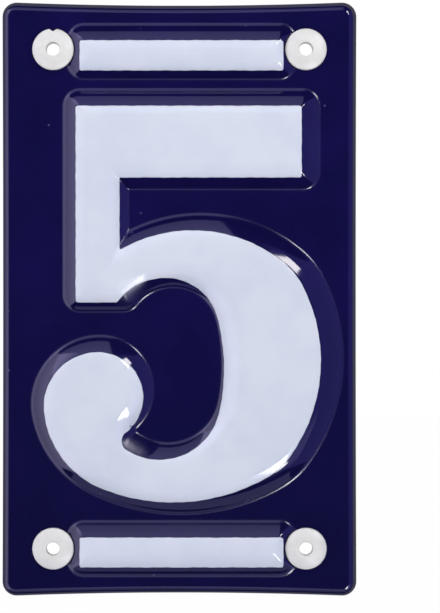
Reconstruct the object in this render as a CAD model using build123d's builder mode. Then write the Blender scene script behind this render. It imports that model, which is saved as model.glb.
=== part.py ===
# House number plaque: a pressed and enamelled sheet with a raised numeral between two bars and four eyelets.
# The front faces -Y, +Z is up, +X is to the right, and the wall is the plane Y = 0.
# The origin is the middle of the four screw holes, on the wall.
import os
from math import radians, sin, sqrt, tan

from build123d import *

# Plate, in millimetres
plate_width = 89.5
plate_height = 150.0
corner_radius = 3.6
end_hollow = 1.0
side_hollow = 0.35
sheet = 1.1
edge_depth = 3.4
edge_bend = 2.4

# Margins from the edge of the plate to its numeral, bars and screws
numeral_side_margin = 9.85
numeral_end_margin = 25.0
bar_side_margin = 19.05
top_bar_margin = 13.6
bottom_bar_margin = 11.1
screw_side_margin = 12.85
screw_end_margin = 12.0

# Numeral five, as it is drawn before it is fitted to its margins
numeral_width = 69.8
numeral_height = 100.0
flag_height = 18.1
flag_setback = 4.8
stem_setback = 8.0
stem_width = 11.1
foot_rise = 50.4
bowl_rise = 68.6
crown_radius = 36.6
crown_setback = 32.3
side_radius = 41.2
side_rise = 35.7
shoulder_radius = 17.7
base_radius = 47.9
base_setback = 37.3
heel_radius = 23.3
ball_rise = 37.9
ball_outer_radius = 13.7
ball_inner_radius = 11.35
counter_rise = 56.6
counter_setback = 39.1
counter_inner_radius = 13.5
counter_outer_radius = 15.3
counter_side_radius = 50.5
counter_floor = 10.8
counter_floor_setback = 40.6
counter_floor_radius = 15.4
hook_radius = 2.7
width_fit = (plate_width - 2 * numeral_side_margin) / numeral_width
height_fit = (plate_height - 2 * numeral_end_margin) / numeral_height
numeral_fit = min(width_fit, height_fit)

# Bars above and below the numeral
bar_length = plate_width - 2 * bar_side_margin
bar_height = 7.6
bar_shift = 0.5
top_bar_rise = plate_height / 2 - top_bar_margin
bottom_bar_drop = plate_height / 2 - bottom_bar_margin

# Pressed relief: its height, the slope of its walls and the bends at their crest and root
relief_height = 2.9
relief_slope = 40.0
root_bend = 1.5
wall_flat = 0.3
corner_flat = 0.6
bar_flat = 1.0
bar_corner_flat = 0.2
crest_inset = 0.4
crest_hollow = 4.4
relief_hook = 3.7
wall_run = relief_height / tan(radians(relief_slope))
bend_reach = tan(radians(relief_slope / 2))
crest_bend = (relief_height / sin(radians(relief_slope)) - wall_flat) / bend_reach - root_bend
crest_corner = crest_inset + crest_bend * bend_reach + corner_flat
bar_crest_bend = (bar_height / 2 - crest_inset - bar_flat / 2) / bend_reach
bar_crest_corner = crest_inset + bar_crest_bend * bend_reach + bar_corner_flat

# White enamel, fired on after pressing and a little out of register with the relief
coat = 0.12
numeral_shift = 0.7
numeral_drop = 1.3
register_drop = 1.2
register_spread = 2.4
register_shift = 1.2
coat_corner = 0.8
coat_hollow = 0.3

# Screw holes and eyelets
screw_spacing_x = plate_width - 2 * screw_side_margin
screw_spacing_z = plate_height - 2 * screw_end_margin
screw_bore = 3.4
flange_diameter = 10.5
flange_height = 1.7
flange_rim = 1.0
flange_round = 0.4
bore_round = 0.3
sleeve_diameter = 6.0
sleeve_clearance = 0.15
seat_clearance = 0.25
notch_width = 1.2
notch_depth = 0.75

front = edge_depth
crest = front + relief_height
seat_radius = flange_diameter / 2 + seat_clearance
hole_radius = sleeve_diameter / 2 + sleeve_clearance
numeral_place = (numeral_shift, -numeral_drop)
bar_places = {"top": (bar_shift, top_bar_rise), "bottom": (bar_shift, -bottom_bar_drop)}
screw_places = {
    "top_left": (-screw_spacing_x / 2, screw_spacing_z / 2),
    "top_right": (screw_spacing_x / 2, screw_spacing_z / 2),
    "bottom_left": (-screw_spacing_x / 2, -screw_spacing_z / 2),
    "bottom_right": (screw_spacing_x / 2, -screw_spacing_z / 2),
}
notched_eyelet = "top_left"


# Points and arcs on circles, for outlines whose round stretches run into each other
def meeting_point(first, first_reach, second, second_reach):
    """The point so far from each of two centres, on the left of the way from the first to the second."""
    across = Vector(*second) - Vector(*first)
    along = (across.length**2 + first_reach**2 - second_reach**2) / (2 * across.length)
    aside = sqrt(first_reach**2 - along**2)
    way = across.normalized()
    point = Vector(*first) + way * along + Vector(-way.Y, way.X) * aside
    return point.X, point.Y


def rim_point(centre, radius, towards):
    """The point of a circle in the direction of another point."""
    return Vector(*centre) + (Vector(*towards) - Vector(*centre)).normalized() * radius


def fitted(point):
    """A point of the numeral's drawing at the size that its margins allow."""
    return Vector(*point) * numeral_fit


def arc_about(centre, start, end):
    """The shorter arc between two points of a circle."""
    spoke_a = Vector(*start) - Vector(*centre)
    spoke_b = Vector(*end) - Vector(*centre)
    middle = Vector(*centre) + (spoke_a + spoke_b).normalized() * spoke_a.length
    return ThreePointArc(start, middle, end)


# Outline of the plate: round corners joined by edges that bow in between them
def hollow_edge_radius(reach, hollow):
    """Radius of an edge that runs into both its corners and bows in by so much half way."""
    return (reach**2 + (corner_radius - hollow) ** 2 - corner_radius**2) / (2 * hollow)


def plate_outline(inset):
    """The plate's face, drawn so far inside its edge."""
    corner = (plate_width / 2 - corner_radius, plate_height / 2 - corner_radius)
    end_radius = hollow_edge_radius(corner[0], end_hollow)
    side_edge_radius = hollow_edge_radius(corner[1], side_hollow)
    above = (0, plate_height / 2 - end_hollow + end_radius)
    beside = (plate_width / 2 - side_hollow + side_edge_radius, 0)
    end_stop = rim_point(corner, corner_radius - inset, above)
    side_stop = rim_point(corner, corner_radius - inset, beside)
    with BuildSketch() as outline:
        with BuildLine() as quarter:
            arc_about(above, (0, above[1] - end_radius - inset), end_stop)
            arc_about(corner, end_stop, side_stop)
            arc_about(beside, side_stop, (beside[0] - side_edge_radius - inset, 0))
            mirror(quarter.line, about=Plane.YZ)
            mirror(quarter.line, about=Plane.XZ)
        make_face()
    return outline.sketch


# Outline of the numeral, about the middle of its height and width
def numeral_outline(spread, hook, corner, hollow, inset):
    """The numeral's face, so much wider, with its hook and its corners so round, so far inside its edge."""
    left = -(numeral_width + spread / numeral_fit) / 2
    right = -left
    bottom = -numeral_height / 2
    trim = inset / numeral_fit
    hook_bend = hook / numeral_fit
    stem_left = left + stem_setback + trim
    stem_right = left + stem_setback + stem_width - trim
    flag_top = numeral_height / 2 - trim
    flag_right = right - flag_setback - trim
    flag_bottom = numeral_height / 2 - flag_height + trim
    foot = bottom + foot_rise + trim

    # Centres of the round stretches, the free ones first
    crown = (right - crown_setback, bottom + bowl_rise - crown_radius)
    side = (right - side_radius, bottom + side_rise)
    base = (right - base_setback, bottom + base_radius)
    ball_outer = (left + ball_outer_radius, bottom + ball_rise - ball_outer_radius)
    ball_inner = (left + ball_outer_radius, bottom + ball_rise - ball_inner_radius)
    roof_outer = (right - counter_setback, bottom + counter_rise - counter_outer_radius)
    roof_inner = (right - counter_setback, bottom + counter_rise - counter_inner_radius)
    floor = (right - counter_floor_setback, bottom + counter_floor + counter_floor_radius)
    upper = meeting_point(side, side_radius - shoulder_radius, crown, crown_radius - shoulder_radius)
    lower = meeting_point(base, base_radius - shoulder_radius, side, side_radius - shoulder_radius)
    heel = meeting_point(base, base_radius - heel_radius, ball_outer, heel_radius - ball_outer_radius)
    bend = meeting_point(floor, counter_floor_radius - hook_bend, ball_inner, ball_inner_radius + hook_bend)
    wall_to_floor = counter_side_radius - counter_floor_radius
    wall_to_roof = counter_side_radius - counter_inner_radius
    wall = meeting_point(floor, wall_to_floor, roof_inner, wall_to_roof)

    # Points where one stretch runs into the next
    crown_reach = crown_radius - trim
    roof_reach = counter_outer_radius + trim
    notch = (stem_right, crown[1] + sqrt(crown_reach**2 - (stem_right - crown[0]) ** 2))
    crown_end = rim_point(crown, crown_reach, upper)
    side_start = rim_point(side, side_radius - trim, upper)
    side_end = rim_point(side, side_radius - trim, lower)
    base_start = rim_point(base, base_radius - trim, lower)
    base_end = rim_point(base, base_radius - trim, heel)
    heel_end = rim_point(heel, heel_radius - trim, ball_outer)
    ball_top = (ball_outer[0], bottom + ball_rise - trim)
    ball_end = rim_point(ball_inner, ball_inner_radius - trim, bend)
    floor_start = rim_point(floor, counter_floor_radius + trim, bend)
    floor_end = rim_point(wall, counter_side_radius + trim, floor)
    roof_start = rim_point(wall, counter_side_radius + trim, roof_inner)
    roof_top = (roof_outer[0], bottom + counter_rise + trim)
    foot_end = (roof_outer[0] - sqrt(roof_reach**2 - (foot - roof_outer[1]) ** 2), foot)

    outer_corners = [
        foot_end,
        (stem_left, foot),
        (stem_left, flag_top),
        (flag_right, flag_top),
        (flag_right, flag_bottom),
    ]
    inner_corners = [(stem_right, flag_bottom), notch]
    round_stretches = [
        (crown, notch, crown_end),
        (upper, crown_end, side_start),
        (side, side_start, side_end),
        (lower, side_end, base_start),
        (base, base_start, base_end),
        (heel, base_end, heel_end),
        (ball_outer, heel_end, ball_top),
        (ball_inner, ball_top, ball_end),
        (bend, ball_end, floor_start),
        (floor, floor_start, floor_end),
        (wall, floor_end, roof_start),
        (roof_inner, roof_start, roof_top),
        (roof_outer, roof_top, foot_end),
    ]
    with BuildSketch() as outline:
        with BuildLine():
            Polyline(*[fitted(point) for point in outer_corners + inner_corners])
            for stretch in round_stretches:
                arc_about(*[fitted(point) for point in stretch])
        make_face()
        for corners, radius in ((outer_corners, corner - inset), (inner_corners, hollow + inset)):
            fillet([outline.vertices().sort_by_distance(fitted(point))[0] for point in corners], radius)
    return outline.sketch


# Outlines of the raised numeral and of the raised bars
def raised_outlines(inset):
    """The faces of the three raised shapes, drawn so far inside their edges."""
    with BuildSketch() as five:
        with Locations((numeral_place[0] + register_shift, numeral_place[1] + register_drop)):
            add(numeral_outline(register_spread, relief_hook, crest_corner, crest_hollow, inset))
    outlines = [five.sketch]
    for across, rise in bar_places.values():
        with BuildSketch() as bar:
            with Locations((across, rise + register_drop)):
                RectangleRounded(bar_length - 2 * inset, bar_height - 2 * inset, bar_crest_corner - inset)
        outlines.append(bar.sketch)
    return outlines


# The pressed form: a dished plate, the relief on it, and flat seats under the eyelets
def pressed_form(inset):
    """The solid whose skin lies so far behind the front of the plate."""
    plate_face = front - inset
    with BuildPart() as form:
        with BuildSketch(Plane.XZ):
            add(plate_outline(inset))
        extrude(amount=plate_face)
        crest_depth = crest_inset + inset * bend_reach
        for top, foot in zip(raised_outlines(crest_depth), raised_outlines(crest_depth - wall_run)):
            with BuildSketch(Plane.XZ.offset(crest - inset)):
                add(top)
            with BuildSketch(Plane.XZ.offset(plate_face)):
                add(foot)
            loft(ruled=True)
        crests = form.faces().filter_by(Axis.Y).group_by(Axis.Y)[0].sort_by(SortBy.AREA)
        fillet(crests[-1].edges(), crest_bend - inset)
        fillet(crests[:-1].edges(), bar_crest_bend - inset)
        ground = form.faces().filter_by(Axis.Y).group_by(Axis.Y)[1].sort_by(SortBy.AREA)[-1]
        fillet([edge for wire in ground.inner_wires() for edge in wire.edges()], root_bend + inset)
        ground = form.faces().filter_by(Axis.Y).group_by(Axis.Y)[1].sort_by(SortBy.AREA)[-1]
        fillet(ground.outer_wire().edges(), edge_bend - inset)
        with BuildSketch(Plane.XZ.offset(plate_face)):
            with Locations(*screw_places.values()):
                Circle(seat_radius + inset)
        extrude(amount=relief_height, mode=Mode.SUBTRACT)
    return form.part


front_form = pressed_form(0)
back_form = pressed_form(sheet)
coat_form = pressed_form(-coat)


# White enamel over part of the relief
def enamel_coat(outline, place):
    """The coat that covers an outline, clear of the eyelets' seats."""
    with BuildPart() as field:
        with BuildSketch(Plane.XZ.offset(front)):
            with Locations(place):
                add(outline)
            with Locations(*screw_places.values()):
                Circle(seat_radius, mode=Mode.SUBTRACT)
        extrude(amount=2 * relief_height)
        add(coat_form, mode=Mode.INTERSECT)
        add(front_form, mode=Mode.SUBTRACT)
    return field.part


# Pressed sheet, hollow behind, with a hole for the sleeve of each eyelet
with BuildPart() as plate:
    add(front_form)
    add(back_form, mode=Mode.SUBTRACT)
    with BuildSketch(Plane.XZ):
        with Locations(*screw_places.values()):
            Circle(hole_radius)
    extrude(amount=front, mode=Mode.SUBTRACT)
plate.part.label = "plate"

# White field of the numeral
with BuildPart() as numeral_enamel:
    white_five = numeral_outline(0, hook_radius, coat_corner, coat_hollow, 0)
    add(enamel_coat(white_five, numeral_place))
numeral_enamel.part.label = "numeral_enamel"

# White fields of the two bars
with BuildSketch() as bar_outline:
    RectangleRounded(bar_length, bar_height, coat_corner)
bar_enamels = {}
for end, place in bar_places.items():
    with BuildPart() as bar_enamel:
        add(enamel_coat(bar_outline.sketch, place))
    bar_enamel.part.label = end + "_bar_enamel"
    bar_enamels[end] = bar_enamel.part

# Moulded eyelets, each a domed flange on the plate and a sleeve that reaches the wall
eyelets = {}
for corner, (across, rise) in screw_places.items():
    bore_radius = screw_bore / 2
    sleeve_radius = sleeve_diameter / 2
    flange_radius = flange_diameter / 2
    section = Plane(origin=(across, 0, rise), x_dir=(1, 0, 0), z_dir=(0, 0, 1))
    with BuildPart() as eyelet:
        with BuildSketch(section):
            with BuildLine():
                Polyline(
                    (bore_radius, -front - flange_height),
                    (bore_radius, 0),
                    (sleeve_radius, 0),
                    (sleeve_radius, -front),
                    (flange_radius, -front),
                    (flange_radius, -front - flange_rim),
                )
                TangentArc(
                    (bore_radius, -front - flange_height),
                    (flange_radius, -front - flange_rim),
                    tangent=(1, 0),
                )
            make_face()
        revolve(axis=Axis((across, 0, rise), (0, 1, 0)))
        rims = eyelet.edges().filter_by(GeomType.CIRCLE)
        fillet(rims.group_by(SortBy.LENGTH)[-1].sort_by(Axis.Y)[0], flange_round)
        fillet(eyelet.edges().filter_by(GeomType.CIRCLE).group_by(Axis.Y)[0], bore_round)
        if corner == notched_eyelet:
            rim_top = (across, -front, rise + flange_radius)
            with BuildSketch(Plane(origin=rim_top, x_dir=(1, 0, 0), z_dir=(0, -1, 0))):
                with BuildLine():
                    Polyline(
                        (0, -notch_depth),
                        (notch_width, notch_depth),
                        (-notch_width, notch_depth),
                        close=True,
                    )
                make_face()
            extrude(amount=flange_height, mode=Mode.SUBTRACT)
    eyelet.part.label = "screw_eyelet_" + corner
    eyelets[corner] = eyelet.part

# One file for each piece
os.makedirs("parts", exist_ok=True)
for piece in (plate.part, numeral_enamel.part, *bar_enamels.values(), *eyelets.values()):
    export_step(piece, "parts/" + piece.label + ".step")
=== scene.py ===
"""Dresses the house number plaque: enamelled plate, white numeral and bars, eyelets and a studio."""
import logging
from cmath import exp as turn
from cmath import phase
from collections.abc import Sequence
from dataclasses import dataclass, field, replace
from enum import Enum
from math import asin, ceil, cos, pi, radians, sin, sqrt, tan

import bpy
import numpy as np
from mathutils import Matrix, Vector
from mathutils.geometry import delaunay_2d_cdt
from mathutils.kdtree import KDTree


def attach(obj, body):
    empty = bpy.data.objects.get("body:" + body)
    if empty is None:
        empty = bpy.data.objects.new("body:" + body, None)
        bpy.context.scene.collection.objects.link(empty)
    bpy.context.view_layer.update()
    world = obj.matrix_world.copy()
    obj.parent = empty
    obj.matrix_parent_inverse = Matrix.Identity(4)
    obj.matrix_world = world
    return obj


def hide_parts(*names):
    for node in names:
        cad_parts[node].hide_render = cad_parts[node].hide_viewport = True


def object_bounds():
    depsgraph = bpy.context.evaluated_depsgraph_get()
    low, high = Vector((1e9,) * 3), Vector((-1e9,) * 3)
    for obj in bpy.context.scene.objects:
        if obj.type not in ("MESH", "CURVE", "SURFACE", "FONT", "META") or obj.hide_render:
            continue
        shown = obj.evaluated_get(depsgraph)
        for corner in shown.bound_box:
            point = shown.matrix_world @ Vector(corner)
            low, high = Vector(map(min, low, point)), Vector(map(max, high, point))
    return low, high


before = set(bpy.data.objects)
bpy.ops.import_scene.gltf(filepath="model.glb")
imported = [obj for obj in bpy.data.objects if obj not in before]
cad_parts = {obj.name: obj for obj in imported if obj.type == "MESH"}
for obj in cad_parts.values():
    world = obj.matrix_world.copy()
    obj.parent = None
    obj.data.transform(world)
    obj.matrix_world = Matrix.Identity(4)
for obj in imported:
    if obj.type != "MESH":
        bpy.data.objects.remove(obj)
cad_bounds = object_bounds()

log = logging.getLogger("house_number_plaque")
MM = 0.001
TINY = 1e-6
MERGE_DISTANCE = 1e-5
BODY = "root"
WHITE = (1.0, 1.0, 1.0)
Colour = tuple[float, float, float]
Span = tuple[float, float]
Pair = tuple[np.ndarray, np.ndarray]
Input = float | Sequence[float] | bpy.types.NodeSocket


class Slot(Enum):
    """The record's material slots."""

    BLUE = "blue_enamel"
    WHITE = "white_enamel"
    NYLON = "eyelet_plastic"


class ScrewCorner(Enum):
    """The four screw places, as signs across and up."""

    TOP_LEFT = (-1, 1)
    TOP_RIGHT = (1, 1)
    BOTTOM_LEFT = (-1, -1)
    BOTTOM_RIGHT = (1, -1)


class BarEnd(Enum):
    """The two bars, by the sign of their height."""

    TOP = 1
    BOTTOM = -1


# Outlines in the plaque's plane, as complex numbers in millimetres: across + 1j * up


@dataclass(frozen=True)
class Arc:
    """A round stretch of an outline, the shorter way between two points of its circle."""

    centre: complex
    start: complex
    end: complex

    def points(self, step: float) -> np.ndarray:
        """Points along the stretch, without its end.

        Args:
            step: The longest distance between points.

        Returns:
            The points in order.
        """
        swing = phase((self.end - self.centre) / (self.start - self.centre))
        count = max(3, ceil(abs(swing) * abs(self.start - self.centre) / step))
        share = np.arange(count) / count
        return self.centre + (self.start - self.centre) * np.exp(1j * swing * share)


def joined(arcs: Sequence[Arc], step: float) -> np.ndarray:
    """A closed outline of arcs with straight stretches between them, clockwise.

    Args:
        arcs: The round stretches in order.
        step: The longest distance between points.

    Returns:
        The outline's points.
    """
    runs = []
    for arc, following in zip(arcs, [*arcs[1:], arcs[0]]):
        runs.append(arc.points(step))
        count = max(1, ceil(abs(following.start - arc.end) / step))
        if abs(following.start - arc.end) > TINY:
            runs.append(arc.end + (following.start - arc.end) * np.arange(count) / count)
    outline = np.concatenate(runs)
    area = np.sum((outline.conj() * np.roll(outline, -1)).imag)
    return outline[::-1] if area > 0 else outline


def meeting_point(first: complex, first_reach: float, second: complex, second_reach: float) -> complex:
    """The point so far from each of two centres, on the left of the way from the first to the second.

    Args:
        first: The first centre.
        first_reach: The distance from the first centre.
        second: The second centre.
        second_reach: The distance from the second centre.

    Returns:
        The point.
    """
    across = second - first
    along = (abs(across) ** 2 + first_reach**2 - second_reach**2) / (2 * abs(across))
    return first + across / abs(across) * (along + 1j * sqrt(first_reach**2 - along**2))


def rim_point(centre: complex, radius: float, towards: complex) -> complex:
    """The point of a circle in the direction of another point."""
    return centre + (towards - centre) / abs(towards - centre) * radius


def rounded_box(centre: complex, width: float, height: float, radius: float, step: float) -> np.ndarray:
    """The outline of a rectangle with round corners.

    Args:
        centre: Its middle.
        width: Its width.
        height: Its height.
        radius: The radius of its corners.
        step: The longest distance between points.

    Returns:
        The outline's points.
    """
    reach = complex(width / 2 - radius, height / 2 - radius)
    spoke = complex(radius)
    arcs = []
    for across, up in ((1, 1), (1, -1), (-1, -1), (-1, 1)):
        corner = centre + complex(reach.real * across, reach.imag * up)
        arcs.append(Arc(corner, corner + 1j * spoke, corner + spoke))
        spoke *= -1j
    return joined(arcs, step)


def circle(centre: complex, radius: float, count: int) -> np.ndarray:
    """Points of a circle."""
    return centre + radius * np.exp(2j * pi * np.arange(count) / count)


def inside_outline(points: np.ndarray, outline: np.ndarray) -> np.ndarray:
    """Which points lie inside a closed outline.

    Args:
        points: The points to test.
        outline: The outline's points.

    Returns:
        True for each point inside.
    """
    inside = np.zeros(len(points), bool)
    for start, end in zip(outline, np.roll(outline, -1)):
        if start.imag == end.imag:
            continue
        spans = (points.imag < start.imag) != (points.imag < end.imag)
        crossing = start.real + (points.imag - start.imag) * (end.real - start.real) / (end.imag - start.imag)
        inside ^= spans & (points.real < crossing)
    return inside


def inner_rings(outline: np.ndarray, depths: Sequence[float]) -> np.ndarray:
    """Copies of a clockwise outline moved inwards along its normals.

    Args:
        outline: The outline's points.
        depths: How far each copy lies inside.

    Returns:
        The points of all the copies.
    """
    along = np.roll(outline, -1) - np.roll(outline, 1)
    inwards = -1j * along / np.abs(along)
    return np.concatenate([outline + inwards * depth for depth in depths])


@dataclass
class OutlineField:
    """How deep points lie inside a set of closed clockwise outlines."""

    outlines: list[np.ndarray]
    here: np.ndarray = field(init=False)
    before: np.ndarray = field(init=False)
    after: np.ndarray = field(init=False)
    tree: KDTree = field(init=False)

    def __post_init__(self) -> None:
        """Files the outlines' points for quick search."""
        self.here = np.concatenate(self.outlines)
        self.before = np.concatenate([np.roll(outline, 1) for outline in self.outlines])
        self.after = np.concatenate([np.roll(outline, -1) for outline in self.outlines])
        self.tree = KDTree(len(self.here))
        for index, point in enumerate(self.here):
            self.tree.insert((point.real, point.imag, 0), index)
        self.tree.balance()

    def depth(self, points: np.ndarray) -> Pair:
        """Depth of points inside the nearest outline.

        Args:
            points: The points.

        Returns:
            The depths, below zero outside, and the directions in which the depth grows.
        """
        near = np.array([self.tree.find((point.real, point.imag, 0))[1] for point in points], int)
        reach = np.full(len(points), np.inf)
        depth = np.zeros(len(points))
        inwards = np.zeros(len(points), complex)
        for start, end in ((self.before[near], self.here[near]), (self.here[near], self.after[near])):
            edge = end - start
            share = np.clip(((points - start) * edge.conj()).real / np.abs(edge) ** 2, 0, 1)
            away = points - start - share * edge
            normal = -1j * edge / np.abs(edge)
            side = np.where((away * normal.conj()).real < 0, -1.0, 1.0)
            nearer = np.abs(away) < reach - 1e-9
            direction = np.where(np.abs(away) > TINY, side * away / np.maximum(np.abs(away), 1e-9), normal)
            reach = np.where(nearer, np.abs(away), reach)
            depth = np.where(nearer, side * np.abs(away), depth)
            inwards = np.where(nearer, direction, inwards)
        return depth, inwards


# The numeral and the plate's form


@dataclass(frozen=True)
class NumeralFive:
    """The numeral's drawing, in millimetres about its middle."""

    width: float = 69.8
    height: float = 100.0
    flag_height: float = 18.1
    flag_setback: float = 4.8
    stem_setback: float = 8.0
    stem_width: float = 11.1
    foot_rise: float = 50.4
    bowl_rise: float = 68.6
    crown_radius: float = 36.6
    crown_setback: float = 32.3
    side_radius: float = 41.2
    side_rise: float = 35.7
    shoulder_radius: float = 17.7
    base_radius: float = 47.9
    base_setback: float = 37.3
    heel_radius: float = 23.3
    ball_rise: float = 37.9
    ball_outer_radius: float = 13.7
    ball_inner_radius: float = 11.35
    counter_rise: float = 56.6
    counter_setback: float = 39.1
    counter_inner_radius: float = 13.5
    counter_outer_radius: float = 15.3
    counter_side_radius: float = 50.5
    counter_floor: float = 10.8
    counter_floor_setback: float = 40.6
    counter_floor_radius: float = 15.4

    def inner_corners(self, spread: float) -> tuple[float, float, complex]:
        """What its two inner corners lie between.

        Args:
            spread: How much wider than drawn it is.

        Returns:
            The right side of its stem, the underside of its flag and the centre of its crown.
        """
        half = (self.width + spread) / 2
        crown = complex(half - self.crown_setback, self.bowl_rise - self.crown_radius - self.height / 2)
        return self.stem_setback + self.stem_width - half, self.height / 2 - self.flag_height, crown

    def arcs(self, spread: float, hook: float, corner: float, hollow: float, inset: float) -> list[Arc]:
        """The numeral's round stretches, from the tip of its foot round by its flag and its bowl.

        Args:
            spread: How much wider than drawn it is.
            hook: The radius of the bend beside its ball.
            corner: The radius of its outer corners at the inset.
            hollow: The radius of its inner corners at the inset.
            inset: How far inside its edge the outline lies.

        Returns:
            The stretches in order, clockwise.
        """
        left = -(self.width + spread) / 2
        right, bottom = -left, -self.height / 2
        stem_left = left + self.stem_setback + inset
        stem_right = left + self.stem_setback + self.stem_width - inset
        flag_top = self.height / 2 - inset
        flag_right = right - self.flag_setback - inset
        flag_bottom = self.height / 2 - self.flag_height + inset
        foot = bottom + self.foot_rise + inset

        crown = complex(right - self.crown_setback, bottom + self.bowl_rise - self.crown_radius)
        side = complex(right - self.side_radius, bottom + self.side_rise)
        base = complex(right - self.base_setback, bottom + self.base_radius)
        ball_x = left + self.ball_outer_radius
        ball_outer = complex(ball_x, bottom + self.ball_rise - self.ball_outer_radius)
        ball_inner = complex(ball_x, bottom + self.ball_rise - self.ball_inner_radius)
        roof_x = right - self.counter_setback
        roof_outer = complex(roof_x, bottom + self.counter_rise - self.counter_outer_radius)
        roof_inner = complex(roof_x, bottom + self.counter_rise - self.counter_inner_radius)
        floor_z = bottom + self.counter_floor + self.counter_floor_radius
        floor = complex(right - self.counter_floor_setback, floor_z)
        shoulder = self.shoulder_radius
        upper = meeting_point(side, self.side_radius - shoulder, crown, self.crown_radius - shoulder)
        lower = meeting_point(base, self.base_radius - shoulder, side, self.side_radius - shoulder)
        heel_reach = self.heel_radius - self.ball_outer_radius
        heel = meeting_point(base, self.base_radius - self.heel_radius, ball_outer, heel_reach)
        bend_to_floor = self.counter_floor_radius - hook
        bend = meeting_point(floor, bend_to_floor, ball_inner, self.ball_inner_radius + hook)
        wall_to_floor = self.counter_side_radius - self.counter_floor_radius
        wall_to_roof = self.counter_side_radius - self.counter_inner_radius
        wall = meeting_point(floor, wall_to_floor, roof_inner, wall_to_roof)

        crown_reach = self.crown_radius - inset
        roof_reach = self.counter_outer_radius + inset
        tip_drop = foot + corner - roof_outer.imag
        tip = complex(roof_x - sqrt((roof_reach + corner) ** 2 - tip_drop**2), foot + corner)
        notch_x = stem_right + hollow
        notch_z = crown.imag + sqrt((crown_reach + hollow) ** 2 - (notch_x - crown.real) ** 2)
        notch = complex(notch_x, notch_z)
        tip_start = rim_point(roof_outer, roof_reach, tip)
        notch_end = rim_point(crown, crown_reach, notch)
        crown_end = rim_point(crown, crown_reach, upper)
        side_start = rim_point(side, self.side_radius - inset, upper)
        side_end = rim_point(side, self.side_radius - inset, lower)
        base_start = rim_point(base, self.base_radius - inset, lower)
        base_end = rim_point(base, self.base_radius - inset, heel)
        heel_end = rim_point(heel, self.heel_radius - inset, ball_outer)
        ball_top = complex(ball_x, bottom + self.ball_rise - inset)
        ball_end = rim_point(ball_inner, self.ball_inner_radius - inset, bend)
        floor_start = rim_point(floor, self.counter_floor_radius + inset, bend)
        floor_end = rim_point(wall, self.counter_side_radius + inset, floor)
        roof_start = rim_point(wall, self.counter_side_radius + inset, roof_inner)
        roof_top = complex(roof_x, bottom + self.counter_rise + inset)

        low_left = complex(stem_left + corner, foot + corner)
        high_left = complex(stem_left + corner, flag_top - corner)
        high_right = complex(flag_right - corner, flag_top - corner)
        low_right = complex(flag_right - corner, flag_bottom + corner)
        armpit = complex(stem_right + hollow, flag_bottom - hollow)
        return [
            Arc(tip, tip_start, tip - 1j * corner),
            Arc(low_left, low_left - 1j * corner, low_left - corner),
            Arc(high_left, high_left - corner, high_left + 1j * corner),
            Arc(high_right, high_right + 1j * corner, high_right + corner),
            Arc(low_right, low_right + corner, low_right - 1j * corner),
            Arc(armpit, armpit + 1j * hollow, armpit - hollow),
            Arc(notch, notch - hollow, notch_end),
            Arc(crown, notch_end, crown_end),
            Arc(upper, crown_end, side_start),
            Arc(side, side_start, side_end),
            Arc(lower, side_end, base_start),
            Arc(base, base_start, base_end),
            Arc(heel, base_end, heel_end),
            Arc(ball_outer, heel_end, ball_top),
            Arc(ball_inner, ball_top, ball_end),
            Arc(bend, ball_end, floor_start),
            Arc(floor, floor_start, floor_end),
            Arc(wall, floor_end, roof_start),
            Arc(roof_inner, roof_start, roof_top),
            Arc(roof_outer, roof_top, tip_start),
        ]


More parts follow.
